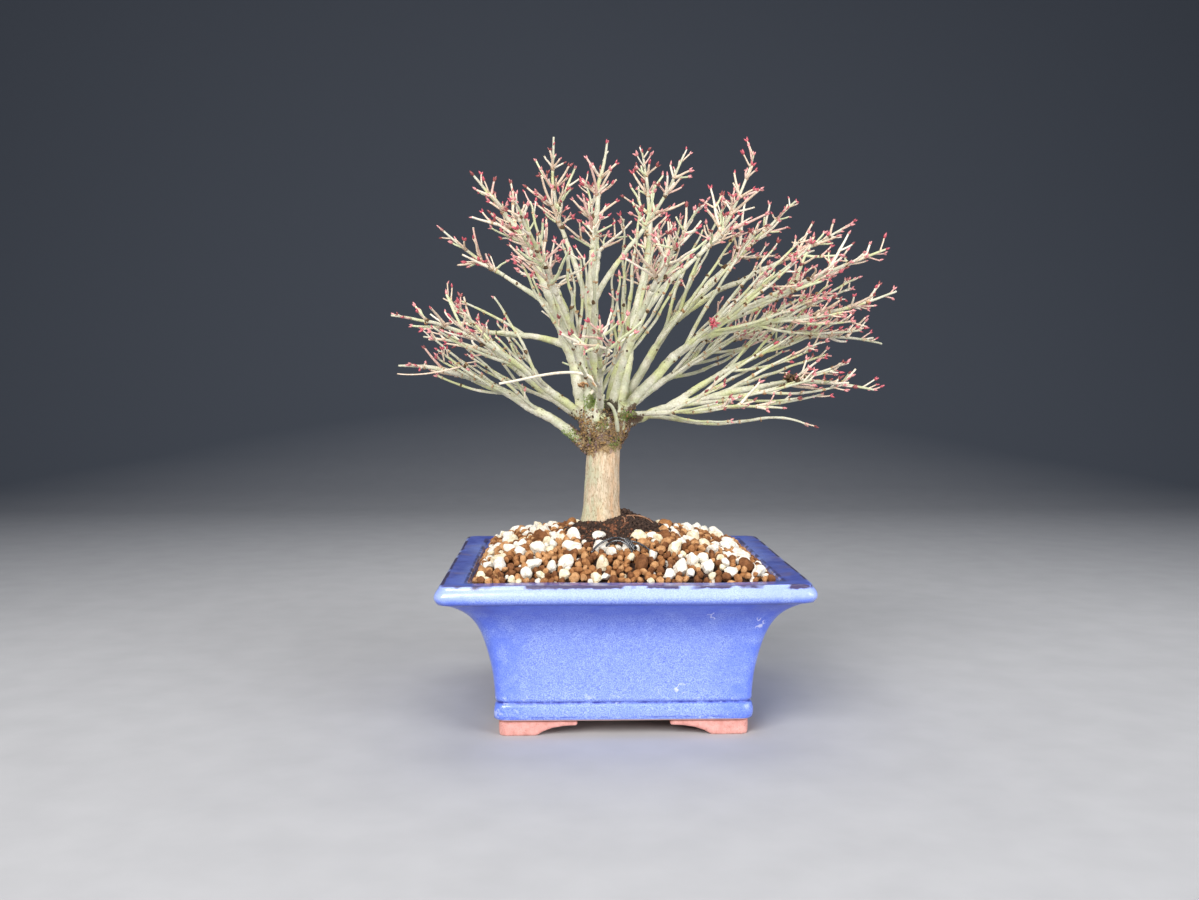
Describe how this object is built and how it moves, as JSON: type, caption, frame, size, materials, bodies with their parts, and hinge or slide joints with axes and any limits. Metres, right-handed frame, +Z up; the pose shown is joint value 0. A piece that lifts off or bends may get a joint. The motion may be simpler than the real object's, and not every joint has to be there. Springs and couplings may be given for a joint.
{
  "type": "bonsai japanese maple in a pot",
  "caption": "Leafless broom-shaped bonsai maple with a swollen knuckle, fanned boughs and fine twigs, in a square flared glazed pot of grainy soil on clay feet.",
  "frame": {"origin": "on the ground, under the middle of the whole plant's box. The pot's middle lies 15 mm to the left of it and 4 mm in front of it", "axes": "+X to the right seen from the front, +Y away from the front, +Z up"},
  "size_m": [0.2832, 0.216, 0.327],
  "materials": {
    "pot_glaze": "glossy cobalt blue glaze, finely speckled, browner at the rim's edges",
    "foot_clay": "bare pink clay, matt",
    "soil_grains": "loose rust-brown and cream grains, dry and matt",
    "trunk_bark": "smooth pale tan bark with faint streaks",
    "bough_bark": "smooth pale grey-green bark",
    "twigs": "tan-pink twigs with crimson buds"
  },
  "bodies": {
    "root": {"pot": "pot_glaze", "foot_front_left": "foot_clay", "foot_front_right": "foot_clay", "foot_back_right": "foot_clay", "foot_back_left": "foot_clay", "soil": "soil_grains", "trunk": "trunk_bark", "bough_left_low": "bough_bark", "bough_left_front": "bough_bark", "bough_left_back": "bough_bark", "bough_right_low": "bough_bark", "bough_right_front": "bough_bark", "bough_right_back": "bough_bark", "bough_back_low": "bough_bark", "bough_front_low": "bough_bark", "bough_left_rise": "bough_bark", "bough_centre_rise": "bough_bark", "bough_right_rise": "bough_bark", "bough_right_fan": "bough_bark", "bough_right_mid": "bough_bark", "bough_back_left": "bough_bark", "bough_back_right": "bough_bark", "bough_front_left": "bough_bark", "bough_front_right": "bough_bark", "bough_left_level": "bough_bark", "bough_left_side": "bough_bark", "bough_top_left": "bough_bark", "bough_top_right": "bough_bark", "bough_top_back": "bough_bark", "bough_right_high": "bough_bark", "bough_right_reach": "bough_bark", "bough_right_wing": "bough_bark", "bough_right_level": "bough_bark", "twigs_left_low": "twigs", "twigs_left_front": "twigs", "twigs_left_back": "twigs", "twigs_right_low": "twigs", "twigs_right_front": "twigs", "twigs_right_back": "twigs", "twigs_back_low": "twigs", "twigs_front_low": "twigs", "twigs_left_rise": "twigs", "twigs_centre_rise": "twigs", "twigs_right_rise": "twigs", "twigs_right_fan": "twigs", "twigs_right_mid": "twigs", "twigs_back_left": "twigs", "twigs_back_right": "twigs", "twigs_front_left": "twigs", "twigs_front_right": "twigs", "twigs_left_level": "twigs", "twigs_left_side": "twigs", "twigs_top_left": "twigs", "twigs_top_right": "twigs", "twigs_top_back": "twigs", "twigs_right_high": "twigs", "twigs_right_reach": "twigs", "twigs_right_wing": "twigs", "twigs_right_level": "twigs"}
  },
  "joints": []
}
